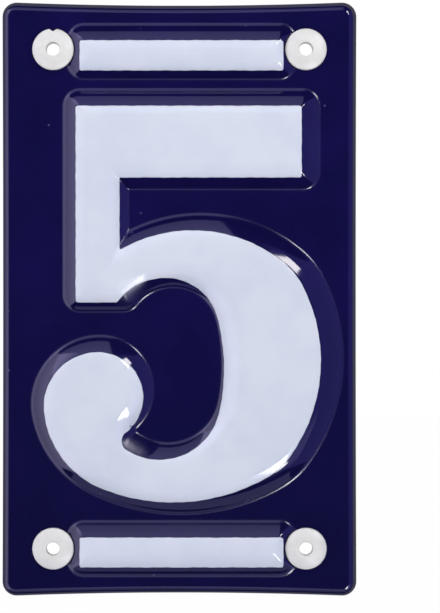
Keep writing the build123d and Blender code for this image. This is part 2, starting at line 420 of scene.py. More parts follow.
@dataclass
class PlateForm:
    """The shape of the plate's front, in millimetres: its outline, its rolled edge and its relief."""

    width: float = 89.5
    height: float = 150.0
    corner_radius: float = 3.6
    end_hollow: float = 0.78
    side_hollow: float = 0.15
    front: float = 3.4
    edge_bend: float = 1.7
    edge_slope: float = 57.0
    edge_run: float = 0.5
    edge_lean: float = 0.2
    edge_round: float = 0.5
    edge_steepest: float = 88.0
    relief_height: float = 2.9
    relief_slope: float = 40.0
    crest_bend: float = 10.07
    root_bend: float = 1.5
    root_gap: float = 4.0
    bar_root_gap: float = 3.6
    root_corner: float = 4.6
    root_hollow: float = 0.15
    relief_hook: float = 4.2
    pressed_flag_setback: float = 5.9
    pressed_stem_width: float = 9.3
    pressed_foot_rise: float = 51.0
    pressed_counter_rise: float = 57.2
    pressed_roof_radius: float = 14.7
    pressed_floor_radius: float = 16.6
    pressed_ball_radius: float = 9.9
    ridge_round: float = 0.35
    numeral: NumeralFive = field(default_factory=NumeralFive)
    numeral_place: complex = 0.7 - 1.3j
    register_slip: complex = 1.2 + 0.65j
    register_spread: float = 1.6
    bar_slip: float = 1.0
    bar_length: float = 51.4
    bar_height: float = 7.6
    bar_shift: float = 0.5
    top_bar_rise: float = 61.4
    bottom_bar_drop: float = 63.9
    screw_reach: complex = 31.9 + 63.0j
    seat_radius: float = 5.5
    seat_blend: float = 0.15
    back_seat_blend: float = 0.5
    white_hook: float = 2.7
    white_corner: float = 0.6
    white_hollow: float = 0.3
    white_bar_corner: float = 0.5
    white_step: float = 0.35
    step: float = 0.7
    step_parts: int = 4
    foot_steps: tuple[float, ...] = (-0.4, -0.15)
    root_steps: int = 9
    crest_steps: int = 15
    crest_margin: float = 0.4
    ring_slack: float = 0.04
    valley_steps: int = 30
    valley_margin: float = 0.6
    valley_asides: tuple[float, ...] = (-0.45, -0.2, 0.0, 0.2, 0.45)
    loose_spacing: float = 3.0
    loose_margin: float = 4.0
    pressed: NumeralFive = field(init=False)
    roots: OutlineField = field(init=False)
    edge: OutlineField = field(init=False)

    def __post_init__(self) -> None:
        """Draws the outlines that the form is measured from."""
        self.pressed = replace(
            self.numeral,
            flag_setback=self.pressed_flag_setback,
            stem_width=self.pressed_stem_width,
            foot_rise=self.pressed_foot_rise,
            counter_rise=self.pressed_counter_rise,
            counter_inner_radius=self.pressed_roof_radius,
            counter_floor_radius=self.pressed_floor_radius,
            ball_inner_radius=self.pressed_ball_radius,
        )
        arcs = self.pressed.arcs(
            self.register_spread, self.relief_hook, self.root_corner, self.root_hollow, -self.root_gap
        )
        five = joined(arcs, self.step / self.step_parts) + self.numeral_place + self.register_slip
        bars = [
            rounded_box(
                self.bar_place(end) + 1j * self.bar_slip,
                self.bar_length + 2 * self.bar_root_gap,
                self.bar_height + 2 * self.bar_root_gap,
                self.root_corner,
                self.step / self.step_parts,
            )
            for end in BarEnd
        ]
        self.roots = OutlineField([five, *bars])
        self.edge = OutlineField([self.plate_outline()])

    def bar_place(self, end: BarEnd) -> complex:
        """The middle of a bar's white field."""
        return complex(self.bar_shift, self.top_bar_rise if end is BarEnd.TOP else -self.bottom_bar_drop)

    def screw_place(self, corner: ScrewCorner) -> complex:
        """The middle of a screw hole."""
        across, up = corner.value
        return complex(self.screw_reach.real * across, self.screw_reach.imag * up)

    def white_numeral(self) -> np.ndarray:
        """The outline of the numeral's white field."""
        arcs = self.numeral.arcs(0.0, self.white_hook, self.white_corner, self.white_hollow, 0.0)
        return joined(arcs, self.white_step) + self.numeral_place

    def white_bar(self, end: BarEnd) -> np.ndarray:
        """The outline of a bar's white field."""
        sizes = (self.bar_length, self.bar_height, self.white_bar_corner)
        return rounded_box(self.bar_place(end), *sizes, self.white_step)

    def plate_outline(self) -> np.ndarray:
        """The plate's edge: round corners joined by edges that bow in between them."""
        radius = self.corner_radius
        corner = complex(self.width / 2 - radius, self.height / 2 - radius)
        end_radius = (corner.real**2 + (radius - self.end_hollow) ** 2 - radius**2) / (2 * self.end_hollow)
        side_radius = (corner.imag**2 + (radius - self.side_hollow) ** 2 - radius**2) / (2 * self.side_hollow)
        above = 1j * (self.height / 2 - self.end_hollow + end_radius)
        beside = self.width / 2 - self.side_hollow + side_radius
        end_stop = rim_point(corner, radius, above)
        side_stop = rim_point(corner, radius, beside)
        arcs = [
            Arc(above, -end_stop.conjugate(), end_stop),
            Arc(corner, end_stop, side_stop),
            Arc(beside, side_stop, side_stop.conjugate()),
            Arc(corner.conjugate(), side_stop.conjugate(), end_stop.conjugate()),
            Arc(-above, end_stop.conjugate(), -end_stop),
            Arc(-corner, -end_stop, -side_stop),
            Arc(-beside, -side_stop, -side_stop.conjugate()),
            Arc(-corner.conjugate(), -side_stop.conjugate(), -end_stop.conjugate()),
        ]
        return joined(arcs, self.step)

    @property
    def wall_run(self) -> float:
        """The distance over which the relief rises, from its root to its flat crest."""
        reach = tan(radians(self.relief_slope / 2))
        run = self.relief_height / tan(radians(self.relief_slope))
        return run + (self.root_bend + self.crest_bend) * reach

    def rise(self, depth: np.ndarray) -> Pair:
        """The relief's height over its distance from the root.

        Args:
            depth: Distances inside the root line.

        Returns:
            The heights and how steeply they grow.
        """
        slope = radians(self.relief_slope)
        root_run = self.root_bend * sin(slope)
        root_top = self.root_bend * (1 - cos(slope))
        low = np.clip(depth, 0, root_run)
        left = np.clip(self.wall_run - depth, 0, self.crest_bend * sin(slope))
        root_height = self.root_bend - np.sqrt(self.root_bend**2 - low**2)
        crest_height = self.relief_height - self.crest_bend + np.sqrt(self.crest_bend**2 - left**2)
        wall_height = root_top + (depth - root_run) * tan(slope)
        on_crest = depth > self.wall_run - self.crest_bend * sin(slope)
        height = np.where(depth < root_run, root_height, np.where(on_crest, crest_height, wall_height))
        root_steep = low / np.sqrt(self.root_bend**2 - low**2)
        crest_steep = left / np.sqrt(self.crest_bend**2 - left**2)
        steep = np.where(depth < root_run, root_steep, np.where(on_crest, crest_steep, tan(slope)))
        return height, steep

    def relief_depth(self, points: np.ndarray) -> Pair:
        """Depth of points inside the relief's root, with sharp valleys at the two inner corners of its stem.

        Args:
            points: The points.

        Returns:
            The depths, below zero outside, and the directions in which the depth grows.
        """
        depth, inwards = self.roots.depth(points)
        local = points - self.numeral_place - self.register_slip
        stem, flag, crown = self.pressed.inner_corners(self.register_spread)
        from_stem = stem + self.root_gap - local.real
        from_flag = local.imag - flag + self.root_gap
        from_crown = self.numeral.crown_radius + self.root_gap - np.abs(local - crown)
        to_crown = (crown - local) / np.maximum(np.abs(crown - local), TINY)
        for other, direction in ((from_flag, 1j), (from_crown, to_crown)):
            valley = np.maximum(from_stem, other)
            lower = (from_stem > 0) & (other > 0) & (valley < depth)
            inwards = np.where(lower, np.where(from_stem > other, -1, direction), inwards)
            depth = np.where(lower, valley, depth)
        return depth, inwards

    def relief(self, points: np.ndarray, seat_radius: float, seat_blend: float) -> Pair:
        """The relief's height, its ridges a little rounded and its seats cut flat.

        Args:
            points: Where to measure.
            seat_radius: The radius of the flat seats.
            seat_blend: The width of the step round a seat.

        Returns:
            The heights and their slopes across and up.
        """
        height = np.zeros(len(points))
        slope = np.zeros(len(points), complex)
        spots = [0j, *(self.ridge_round * turn(1j * pi * k / 3) for k in range(6))]
        for spot in spots:
            depth, inwards = self.relief_depth(points + spot)
            rise, steep = self.rise(np.maximum(depth, 0))
            height += rise / len(spots)
            slope += np.where(depth > 0, steep, 0) * inwards / len(spots)
        for corner in ScrewCorner:
            away = points - self.screw_place(corner)
            reach = np.maximum(np.abs(away), TINY)
            share = np.clip((reach - seat_radius) / seat_blend + 0.5, 0, 1)
            mask = share**2 * (3 - 2 * share)
            fall = 6 * share * (1 - share) / seat_blend
            slope = slope * mask + height * fall * away / reach
            height = height * mask
        return height, slope

    def rim(self, points: np.ndarray) -> Pair:
        """How the plate's edge rolls away, a little wider at the top and on the right.

        Args:
            points: Where to measure.

        Returns:
            The heights over the flat front and their slopes.
        """
        depth, inwards = self.edge.depth(points)
        slope = radians(self.edge_slope)
        lip = self.edge_round * (1 - sin(slope))
        run = self.edge_run - self.edge_lean * (inwards.real + inwards.imag)
        bend = np.clip(lip + run + self.edge_bend * sin(slope) - depth, 0, self.edge_bend * sin(slope))
        curl = np.clip(1 - depth / self.edge_round, sin(slope), sin(radians(self.edge_steepest)))
        fall = self.edge_bend - np.sqrt(self.edge_bend**2 - bend**2)
        fall += np.clip(lip + run - depth, 0, run) * tan(slope)
        fall += self.edge_round * (cos(slope) - np.sqrt(1 - curl**2))
        bend_steep = bend / np.sqrt(self.edge_bend**2 - bend**2)
        steep = np.where(depth < lip, curl / np.sqrt(1 - curl**2), bend_steep)
        return -fall, steep * inwards

    def surface(self, points: np.ndarray, seat_radius: float, seat_blend: float) -> Pair:
        """The plate's front with its relief and its edge.

        Args:
            points: Where to measure.
            seat_radius: The radius of the flat seats.
            seat_blend: The width of the step round a seat.

        Returns:
            The heights over the flat front and their slopes.
        """
        relief, relief_slope = self.relief(points, seat_radius, seat_blend)
        rim, rim_slope = self.rim(points)
        return relief + rim, relief_slope + rim_slope

    def front_surface(self, points: np.ndarray) -> Pair:
        """Height and slope of the plate's front."""
        return self.surface(points, self.seat_radius, self.seat_blend)

    def back_surface(self, points: np.ndarray, sheet: float) -> Pair:
        """Height and slope of the front that the plate's back follows, with wider seats."""
        return self.surface(points, self.seat_radius + sheet, self.back_seat_blend)

    def relief_points(self) -> np.ndarray:
        """Points that follow the relief's walls closely and its flats loosely."""
        slope = radians(self.relief_slope)
        root_run = self.root_bend * sin(slope)
        crest_start = self.wall_run - self.crest_bend * sin(slope)
        roots = np.linspace(0, root_run, self.root_steps)
        crests = np.linspace(crest_start, self.wall_run, self.crest_steps)
        middle, flat = (root_run + crest_start) / 2, self.wall_run + self.crest_margin
        depths = [*self.foot_steps, *roots, middle, *crests, flat]
        kept = []
        for outline in self.roots.outlines:
            thin = outline[:: self.step_parts]
            for depth in depths:
                ring = inner_rings(thin, [depth])
                true_depth, _ = self.roots.depth(ring)
                kept.append(ring[np.abs(true_depth - depth) < self.ring_slack])
        return np.concatenate([*kept, *self.valley_points()])

    def valley_points(self) -> list[np.ndarray]:
        """Points along the valleys at the two inner corners of the stem, and close beside them."""
        stem, flag, crown = self.pressed.inner_corners(self.register_spread)
        into = np.linspace(0, self.wall_run + self.valley_margin, self.valley_steps)
        across = stem + self.root_gap - into
        under_flag = across + 1j * (flag - self.root_gap + into)
        reach = self.numeral.crown_radius + self.root_gap - into
        over_crown = across + 1j * (crown.imag + np.sqrt(reach**2 - (across - crown.real) ** 2))
        place = self.numeral_place + self.register_slip
        valleys = (under_flag, over_crown)
        return [place + valley + aside for valley in valleys for aside in self.valley_asides]

    def loose_points(self) -> np.ndarray:
        """A wide grid of points over the plate's face."""
        side, end = self.width / 2 - self.loose_margin, self.height / 2 - self.loose_margin
        across = np.arange(-side, side, self.loose_spacing)
        up = np.arange(-end, end, self.loose_spacing)
        return (across[None, :] + 1j * up[:, None]).ravel()


# Meshes


def triangles_over(points: np.ndarray, loops: Sequence[np.ndarray]) -> Pair:
    """Fills the plane with triangles that use the points and don't cross the loops.

    Args:
        points: Loose points.
        loops: Closed outlines whose sides are kept.

    Returns:
        The points used and the triangles as rows of three indices.
    """
    coords = [Vector((point.real, point.imag)) for point in np.concatenate([points, *loops])]
    edges = []
    first = len(points)
    for loop in loops:
        edges += [(first + index, first + (index + 1) % len(loop)) for index in range(len(loop))]
        first += len(loop)
    made = delaunay_2d_cdt(coords, edges, [], 0, MERGE_DISTANCE)
    corners = np.array([corner[:] for corner in made[0]])
    return corners[:, 0] + 1j * corners[:, 1], np.array([face[:3] for face in made[2]], int)


def border_sides(triangles: np.ndarray) -> np.ndarray:
    """The sides that only one triangle has, in that triangle's direction."""
    sides = np.concatenate([triangles[:, [0, 1]], triangles[:, [1, 2]], triangles[:, [2, 0]]])
    keys = np.sort(sides, axis=1)
    _, first, counts = np.unique(keys, axis=0, return_index=True, return_counts=True)
    return sides[first[counts == 1]]


def faced_front(points: np.ndarray, triangles: np.ndarray) -> np.ndarray:
    """The triangles, each turned so that it faces the viewer in front of the plaque."""
    a, b, c = (points[triangles[:, k]] for k in range(3))
    clockwise = ((b - a).conj() * (c - a)).imag < 0
    return np.where(clockwise[:, None], triangles[:, [0, 2, 1]], triangles)


def lifted(points: np.ndarray, height: np.ndarray, front: float) -> np.ndarray:
    """Points of the plaque's plane as places in space at so great a height over its flat front."""
    return np.column_stack([points.real, -(front + height), points.imag])


def facing(slope: np.ndarray) -> np.ndarray:
    """Outward directions of a surface from its slopes across and up."""
    raw = np.column_stack([-slope.real, np.full(len(slope), -1.0), -slope.imag])
    return raw / np.linalg.norm(raw, axis=1)[:, None]


@dataclass
class Shell:
    """A mesh in the making: places in millimetres, triangles and a direction at each of their corners."""

    places: list[np.ndarray] = field(default_factory=list)
    triangles: list[np.ndarray] = field(default_factory=list)
    directions: list[np.ndarray] = field(default_factory=list)
    count: int = 0

    def skin(self, places: np.ndarray, triangles: np.ndarray, directions: np.ndarray) -> None:
        """Adds a surface with one direction for each place.

        Args:
            places: Its places.
            triangles: Its triangles.
            directions: The outward direction at each place.
        """
        self.places.append(places)
        self.triangles.append(triangles + self.count)
        self.directions.append(directions[triangles].reshape(-1, 3))
        self.count += len(places)

    def wall(
        self, starts: np.ndarray, ends: np.ndarray, far_ends: np.ndarray, far_starts: np.ndarray
    ) -> None:
        """Adds four-sided patches, given the places of their corners in order.

        Args:
            starts: The first corners.
            ends: The second corners.
            far_ends: The third corners.
            far_starts: The fourth corners.
        """
        size = len(starts)
        base = np.arange(size)
        halves = [np.column_stack([base, base + far, base + far + size]) for far in (size, 2 * size)]
        triangles = np.concatenate(halves)
        places = np.concatenate([starts, ends, far_ends, far_starts])
        normal = np.cross(far_ends - starts, far_starts - ends)
        normal /= np.maximum(np.linalg.norm(normal, axis=1), 1e-12)[:, None]
        self.skin(places, triangles, np.tile(normal, (4, 1)))

    def piece(self, name: str, material: bpy.types.Material) -> bpy.types.Object:
        """Makes the piece's object, in metres.

        Args:
            name: Its name.
            material: Its finish.

        Returns:
            The object, linked to the scene.
        """
        mesh = bpy.data.meshes.new(name)
        mesh.from_pydata(np.concatenate(self.places) * MM, [], np.concatenate(self.triangles).tolist())
        mesh.polygons.foreach_set("use_smooth", np.ones(len(mesh.polygons), bool))
        mesh.normals_split_custom_set(np.concatenate(self.directions).tolist())
        mesh.materials.append(material)
        made = bpy.data.objects.new(name, mesh)
        bpy.context.scene.collection.objects.link(made)
        return made


def settle(piece: bpy.types.Object, node: str) -> None:
    """Puts a piece in a node's place and reports it.

    Args:
        piece: The piece.
        node: The node that it stands for.
    """
    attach(piece, BODY)
    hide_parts(node)
    log.info("%s: %d faces in place of %s", piece.name, len(piece.data.polygons), node)


# Shader helpers and shared effects


def add_node(
    tree: bpy.types.NodeTree, kind: str, inputs: dict[str | int, Input] | None = None, **settings: object
) -> bpy.types.Node:
    """Adds a shader node.

    Args:
        tree: The tree that it goes into.
        kind: Its type.
        inputs: Values for its inputs, or sockets to link to them.
        settings: Its other settings.

    Returns:
        The node.
    """
    made = tree.nodes.new(kind)
    for name, value in settings.items():
        setattr(made, name, value)
    for name, value in (inputs or {}).items():
        if isinstance(value, bpy.types.NodeSocket):
            tree.links.new(value, made.inputs[name])
        else:
            made.inputs[name].default_value = value
    return made


def worked_out(
    tree: bpy.types.NodeTree, operation: str, first: Input, second: Input
) -> bpy.types.NodeSocket:
    """A number worked out from two others.

    Args:
        tree: The tree.
        operation: What is done with them.
        first: The first number.
        second: The second number.

    Returns:
        The socket of the result.
    """
    return add_node(tree, "ShaderNodeMath", {0: first, 1: second}, operation=operation).outputs[0]


def mixed(tree: bpy.types.NodeTree, factor: Input, first: Input, second: Input) -> bpy.types.NodeSocket:
    """A colour between two others.

    Args:
        tree: The tree.
        factor: The share of the second.
        first: The first colour.
        second: The second colour.

    Returns:
        The socket of the mixed colour.
    """
    inputs = {"Factor": factor, 6: first, 7: second}
    return add_node(tree, "ShaderNodeMix", inputs, data_type="RGBA").outputs[2]


def ranged(tree: bpy.types.NodeTree, value: Input, source: Span, target: Span) -> bpy.types.NodeSocket:
    """A value moved smoothly from one range to another.

    Args:
        tree: The tree.
        value: The value.
        source: The range that it comes from.
        target: The range that it goes to.

    Returns:
        The socket of the new value.
    """
    names = ("From Min", "From Max", "To Min", "To Max")
    inputs = {"Value": value, **dict(zip(names, (*source, *target)))}
    return add_node(tree, "ShaderNodeMapRange", inputs, interpolation_type="SMOOTHSTEP").outputs[0]


def noise(tree: bpy.types.NodeTree, place: Input, scale: Input, detail: float) -> bpy.types.NodeSocket:
    """Soft noise between nought and one.

    Args:
        tree: The tree.
        place: Where it is measured.
        scale: How fine it is.
        detail: How many finer layers it has.

    Returns:
        The socket of its value.
    """
    inputs = {"Vector": place, "Scale": scale, "Detail": detail}
    return add_node(tree, "ShaderNodeTexNoise", inputs).outputs["Fac"]


def in_metres(span: Span) -> Span:
    """A span in millimetres as one in metres."""
    return span[0] * MM, span[1] * MM


def rgba(colour: Colour) -> tuple[float, float, float, float]:
    """A colour with full opacity."""
    return (*colour, 1.0)


def new_group(name: str, inputs: Sequence[str], output: str) -> bpy.types.NodeTree:
    """An empty shader group with number sockets and its two end nodes.

    Args:
        name: Its name.
        inputs: The names of its inputs, after the place that it is measured at.
        output: The name of its output.

    Returns:
        The group's tree.
    """
    tree = bpy.data.node_groups.new(name, "ShaderNodeTree")
    tree.interface.new_socket("Place", in_out="INPUT", socket_type="NodeSocketVector")
    for socket in inputs:
        tree.interface.new_socket(socket, in_out="INPUT", socket_type="NodeSocketFloat")
    tree.interface.new_socket(output, in_out="OUTPUT", socket_type="NodeSocketFloat")
    tree.nodes.new("NodeGroupInput")
    tree.nodes.new("NodeGroupOutput")
    return tree


@dataclass(frozen=True)
class Specks:
    """Scattered specks: how close their cells are, how large and how common they are, and their colour."""

    scale: float
    size: float
    share: float
    colour: Colour


@dataclass(frozen=True)
class Ripple:
    """A skin's ripple: how fine its waves and its peel are, the peel's share and the height in mm."""

    wave: float
    peel: float
    share: float
    rise: float


class SharedEffects:
    """Effects that more than one finish uses, each built once as a shader group."""

    # The middle and the reach of each dulled spot in millimetres, and the share of it that is fully dull
    DULL_SPOTS = (((-12.6, -6.0, 2.2), 9.0), ((-11.2, -6.0, -37.4), 6.5))
    DULL_CORE = 0.1

    def __init__(self) -> None:
        """Builds the groups."""
        self.ripple = self.build_ripple()
        self.specks = self.build_specks()
        self.dulled = self.build_dulled()

    @classmethod
    def build_dulled(cls) -> bpy.types.NodeTree:
        """Two spots in the numeral's nooks, kept less glossy so that no lamp glints there, as a mask."""
        tree = new_group("dulled_spots", [], "Mask")
        place = tree.nodes["Group Input"].outputs["Place"]
        masks = []
        for spot, reach in cls.DULL_SPOTS:
            middle = [number * MM for number in spot]
            away = add_node(tree, "ShaderNodeVectorMath", {0: place, 1: middle}, operation="DISTANCE")
            fade = in_metres((cls.DULL_CORE * reach, reach))
            masks.append(ranged(tree, away.outputs["Value"], fade, (1.0, 0.0)))
        tree.links.new(worked_out(tree, "MAXIMUM", *masks), tree.nodes["Group Output"].inputs["Mask"])
        return tree

    @staticmethod
    def build_ripple() -> bpy.types.NodeTree:
        """The gentle waves and fine peel of a fired or moulded skin, as a height."""
        tree = new_group("skin_ripple", ["Wave Scale", "Peel Scale", "Peel Share"], "Height")
        start = tree.nodes["Group Input"].outputs
        wave = noise(tree, start["Place"], start["Wave Scale"], 1.0)
        peel = noise(tree, start["Place"], start["Peel Scale"], 2.0)
        share = worked_out(tree, "MULTIPLY", peel, start["Peel Share"])
        tree.links.new(worked_out(tree, "ADD", wave, share), tree.nodes["Group Output"].inputs["Height"])
        return tree

    @staticmethod
    def build_specks() -> bpy.types.NodeTree:
        """Scattered specks of different sizes, as a mask."""
        tree = new_group("scattered_specks", ["Scale", "Size", "Share"], "Mask")
        start = tree.nodes["Group Input"].outputs
        cells = add_node(tree, "ShaderNodeTexVoronoi", {"Vector": start["Place"], "Scale": start["Scale"]})
        chance = add_node(tree, "ShaderNodeSeparateColor", {"Color": cells.outputs["Color"]}).outputs
        chosen = worked_out(tree, "LESS_THAN", chance[0], start["Share"])
        size = worked_out(tree, "MULTIPLY", chance[1], start["Size"])
        fade = {"Value": cells.outputs["Distance"], "From Max": size, "To Min": 1.0, "To Max": 0.0}
        near = add_node(tree, "ShaderNodeMapRange", fade).outputs[0]
        tree.links.new(worked_out(tree, "MULTIPLY", near, chosen), tree.nodes["Group Output"].inputs["Mask"])
        return tree

    @staticmethod
    def place(
        tree: bpy.types.NodeTree, group: bpy.types.NodeTree, inputs: dict[str, Input]
    ) -> bpy.types.NodeSocket:
        """Puts an effect into a material.

        Args:
            tree: The material's tree.
            group: The effect.
            inputs: Its values.

        Returns:
            The socket of its result.
        """
        return add_node(tree, "ShaderNodeGroup", inputs, node_tree=group).outputs[0]

    def speckled(
        self, tree: bpy.types.NodeTree, place: Input, ground: Input, specks: Specks
    ) -> bpy.types.NodeSocket:
        """A colour with specks on it.

        Args:
            tree: The material's tree.
            place: Where it is measured.
            ground: The colour under the specks.
            specks: The specks.

        Returns:
            The socket of the speckled colour.
        """
        inputs = {"Place": place, "Scale": specks.scale, "Size": specks.size, "Share": specks.share}
        return mixed(tree, self.place(tree, self.specks, inputs), ground, rgba(specks.colour))

    def dulled_gloss(
        self, tree: bpy.types.NodeTree, place: Input, gloss: Input, dull_roughness: float
    ) -> bpy.types.NodeSocket:
        """A roughness that is raised in the dulled spots.

        Args:
            tree: The material's tree.
            place: Where it is measured.
            gloss: The roughness elsewhere.
            dull_roughness: The roughness in the middle of a spot.

        Returns:
            The socket of the roughness.
        """
        spots = self.place(tree, self.dulled, {"Place": place})
        matt = ranged(tree, spots, (0.0, 1.0), (0.0, dull_roughness))
        return worked_out(tree, "MAXIMUM", gloss, matt)

    def add_ripple(
        self, tree: bpy.types.NodeTree, shader: bpy.types.Node, place: Input, ripple: Ripple
    ) -> None:
        """Lets a ripple shape a shader's skin.

        Args:
            tree: The material's tree.
            shader: Its main shader.
            place: Where the ripple is measured.
            ripple: The ripple.
        """
        scales = {"Wave Scale": ripple.wave, "Peel Scale": ripple.peel, "Peel Share": ripple.share}
        height = self.place(tree, self.ripple, {"Place": place, **scales})
        inputs = {"Strength": 1.0, "Distance": ripple.rise * MM, "Height": height}
        bump = add_node(tree, "ShaderNodeBump", inputs)
        tree.links.new(bump.outputs["Normal"], shader.inputs["Normal"])


def new_material(name: str) -> tuple[bpy.types.Material, bpy.types.NodeTree, bpy.types.Node]:
    """A material with its tree and its main shader.

    Args:
        name: The material's name.

    Returns:
        The material, its tree and its Principled shader.
    """
    made = bpy.data.materials.new(name)
    made.use_nodes = True
    tree = made.node_tree
    return made, tree, tree.nodes["Principled BSDF"]


# Finishes, with their heights and depths on the plaque in millimetres


@dataclass(frozen=True)
class BlueEnamel:
    """Glossy cobalt enamel, with painted shade that makes it darker and less blue low down, and burnt grey on
    the wall side of its turned edge.
    """

    colour: Colour = (0.0034, 0.0025, 0.042)
    cloud: Colour = (0.0058, 0.0036, 0.06)
    cloud_scale: float = 70.0
    grain_scale: float = 1400.0
    # Painted shade: a darker, less blue colour blended in over the lower part of the plate
    low: Colour = (0.0032, 0.003, 0.031)
    low_shade_share: float = 0.7
    low_shade_span: Span = (-70.0, 10.0)
    specks: Specks = Specks(300.0, 0.11, 0.12, (0.09, 0.09, 0.2))
    burnt: Colour = (0.04, 0.038, 0.055)
    burnt_span: Span = (-1.9, -1.3)
    burnt_waver: float = 0.25
    waver_scale: float = 260.0
    root_foot: Span = (-3.412, -3.403)
    root_top: Span = (-3.85, -3.7)
    roughness: float = 0.07
    root_roughness: float = 0.16
    dull_roughness: float = 0.3
    ripple: Ripple = Ripple(130.0, 900.0, 0.12, 0.03)

    def material(self, effects: SharedEffects) -> bpy.types.Material:
        """Builds the finish.

        Args:
            effects: The shared effects.

        Returns:
            The material.
        """
        made, tree, shader = new_material("blue_enamel_gloss")
        place = add_node(tree, "ShaderNodeTexCoord").outputs["Object"]
        axes = add_node(tree, "ShaderNodeSeparateXYZ", {"Vector": place}).outputs
        clouds = noise(tree, place, self.cloud_scale, 4.0)
        grain = noise(tree, place, self.grain_scale, 2.0)
        cloud_share = ranged(tree, clouds, (0.35, 0.7), (0.0, 0.8))
        grain_share = ranged(tree, grain, (0.55, 0.75), (0.0, 0.5))
        # Painted shade: the glaze turns darker and less blue towards the bottom of the plate
        low_shade_share = ranged(tree, axes["Z"], in_metres(self.low_shade_span), (self.low_shade_share, 0.0))
        glaze = mixed(tree, cloud_share, rgba(self.colour), rgba(self.cloud))
        glaze = mixed(tree, grain_share, glaze, rgba(self.cloud))
        glaze = mixed(tree, low_shade_share, glaze, rgba(self.low))
        glaze = effects.speckled(tree, place, glaze, self.specks)
        waver = in_metres((-self.burnt_waver, self.burnt_waver))
        wander = ranged(tree, noise(tree, place, self.waver_scale, 3.0), (0.3, 0.7), waver)
        edge = worked_out(tree, "ADD", axes["Y"], wander)
        burn = ranged(tree, edge, in_metres(self.burnt_span), (0.0, 1.0))
        tree.links.new(mixed(tree, burn, glaze, rgba(self.burnt)), shader.inputs["Base Color"])
        foot = ranged(tree, axes["Y"], in_metres(self.root_foot), (1.0, 0.0))
        top = ranged(tree, axes["Y"], in_metres(self.root_top), (0.0, 1.0))
        dull = worked_out(tree, "MAXIMUM", worked_out(tree, "MULTIPLY", foot, top), burn)
        gloss = ranged(tree, dull, (0.0, 1.0), (self.roughness, self.root_roughness))
        rough = effects.dulled_gloss(tree, place, gloss, self.dull_roughness)
        tree.links.new(rough, shader.inputs["Roughness"])
        effects.add_ripple(tree, shader, place, self.ripple)
        return made


@dataclass(frozen=True)
class WhiteEnamel:
    """Glossy cool white enamel with a few dark pinholes."""

    colour: Colour = (0.7, 0.745, 0.86)
    shade: Colour = (0.655, 0.705, 0.835)
    cloud_scale: float = 90.0
    pinholes: Specks = Specks(75.0, 0.05, 0.06, (0.03, 0.03, 0.06))
    roughness: Span = (0.06, 0.11)
    dull_roughness: float = 0.3
    ripple: Ripple = Ripple(130.0, 900.0, 0.15, 0.03)

    def material(self, effects: SharedEffects) -> bpy.types.Material:
        """Builds the finish.

        Args:
            effects: The shared effects.

        Returns:
            The material.
        """
        made, tree, shader = new_material("white_enamel_gloss")
        place = add_node(tree, "ShaderNodeTexCoord").outputs["Object"]
        clouds = noise(tree, place, self.cloud_scale, 5.0)
        cloud_share = ranged(tree, clouds, (0.35, 0.7), (0.0, 1.0))
        glaze = mixed(tree, cloud_share, rgba(self.colour), rgba(self.shade))
        glaze = effects.speckled(tree, place, glaze, self.pinholes)
        tree.links.new(glaze, shader.inputs["Base Color"])
        gloss = ranged(tree, clouds, (0.3, 0.7), self.roughness)
        rough = effects.dulled_gloss(tree, place, gloss, self.dull_roughness)
        tree.links.new(rough, shader.inputs["Roughness"])
        effects.add_ripple(tree, shader, place, self.ripple)
        return made


@dataclass(frozen=True)
class MouldedNylon:
    """Satin off-white nylon with a faint grain and a little dust."""

    colour: Colour = (0.76, 0.757, 0.74)
    shade: Colour = (0.715, 0.71, 0.695)
    cloud_scale: float = 500.0
    dust: Specks = Specks(900.0, 0.12, 0.1, (0.55, 0.53, 0.5))
    roughness: Span = (0.32, 0.42)
    ripple: Ripple = Ripple(700.0, 3500.0, 0.5, 0.012)

    def material(self, effects: SharedEffects) -> bpy.types.Material:
        """Builds the finish.

        Args:
            effects: The shared effects.

        Returns:
            The material.
        """
        made, tree, shader = new_material("moulded_nylon_satin")
        place = add_node(tree, "ShaderNodeTexCoord").outputs["Object"]
        clouds = noise(tree, place, self.cloud_scale, 4.0)
        cloud_share = ranged(tree, clouds, (0.35, 0.7), (0.0, 1.0))
        body = mixed(tree, cloud_share, rgba(self.colour), rgba(self.shade))
        tree.links.new(effects.speckled(tree, place, body, self.dust), shader.inputs["Base Color"])
        tree.links.new(ranged(tree, clouds, (0.3, 0.7), self.roughness), shader.inputs["Roughness"])
        effects.add_ripple(tree, shader, place, self.ripple)
        return made


@dataclass(frozen=True)
class PaleFloor:
    """A pale matt floor that the camera sees as white, with a faint shadow."""

    colour: Colour = (0.86, 0.86, 0.87)
    shade: Colour = (0.82, 0.82, 0.83)
    cloud_scale: float = 3.0
    roughness: float = 0.8
    glow_share: float = 0.988

    def material(self) -> bpy.types.Material:
        """Builds the finish."""
        made, tree, shader = new_material("pale_floor_matt")
        place = add_node(tree, "ShaderNodeTexCoord").outputs["Object"]
        clouds = noise(tree, place, self.cloud_scale, 3.0)
        tree.links.new(mixed(tree, clouds, rgba(self.colour), rgba(self.shade)), shader.inputs["Base Color"])
        shader.inputs["Roughness"].default_value = self.roughness
        seen = add_node(tree, "ShaderNodeLightPath").outputs["Is Camera Ray"]
        share = worked_out(tree, "MULTIPLY", seen, self.glow_share)
        glow = add_node(tree, "ShaderNodeEmission", {"Color": rgba(WHITE), "Strength": 1.0})
        shaders = {0: share, 1: shader.outputs["BSDF"], 2: glow.outputs["Emission"]}
        both = add_node(tree, "ShaderNodeMixShader", shaders)
        tree.links.new(both.outputs["Shader"], tree.nodes["Material Output"].inputs["Surface"])
        return made


# Sub-assemblies


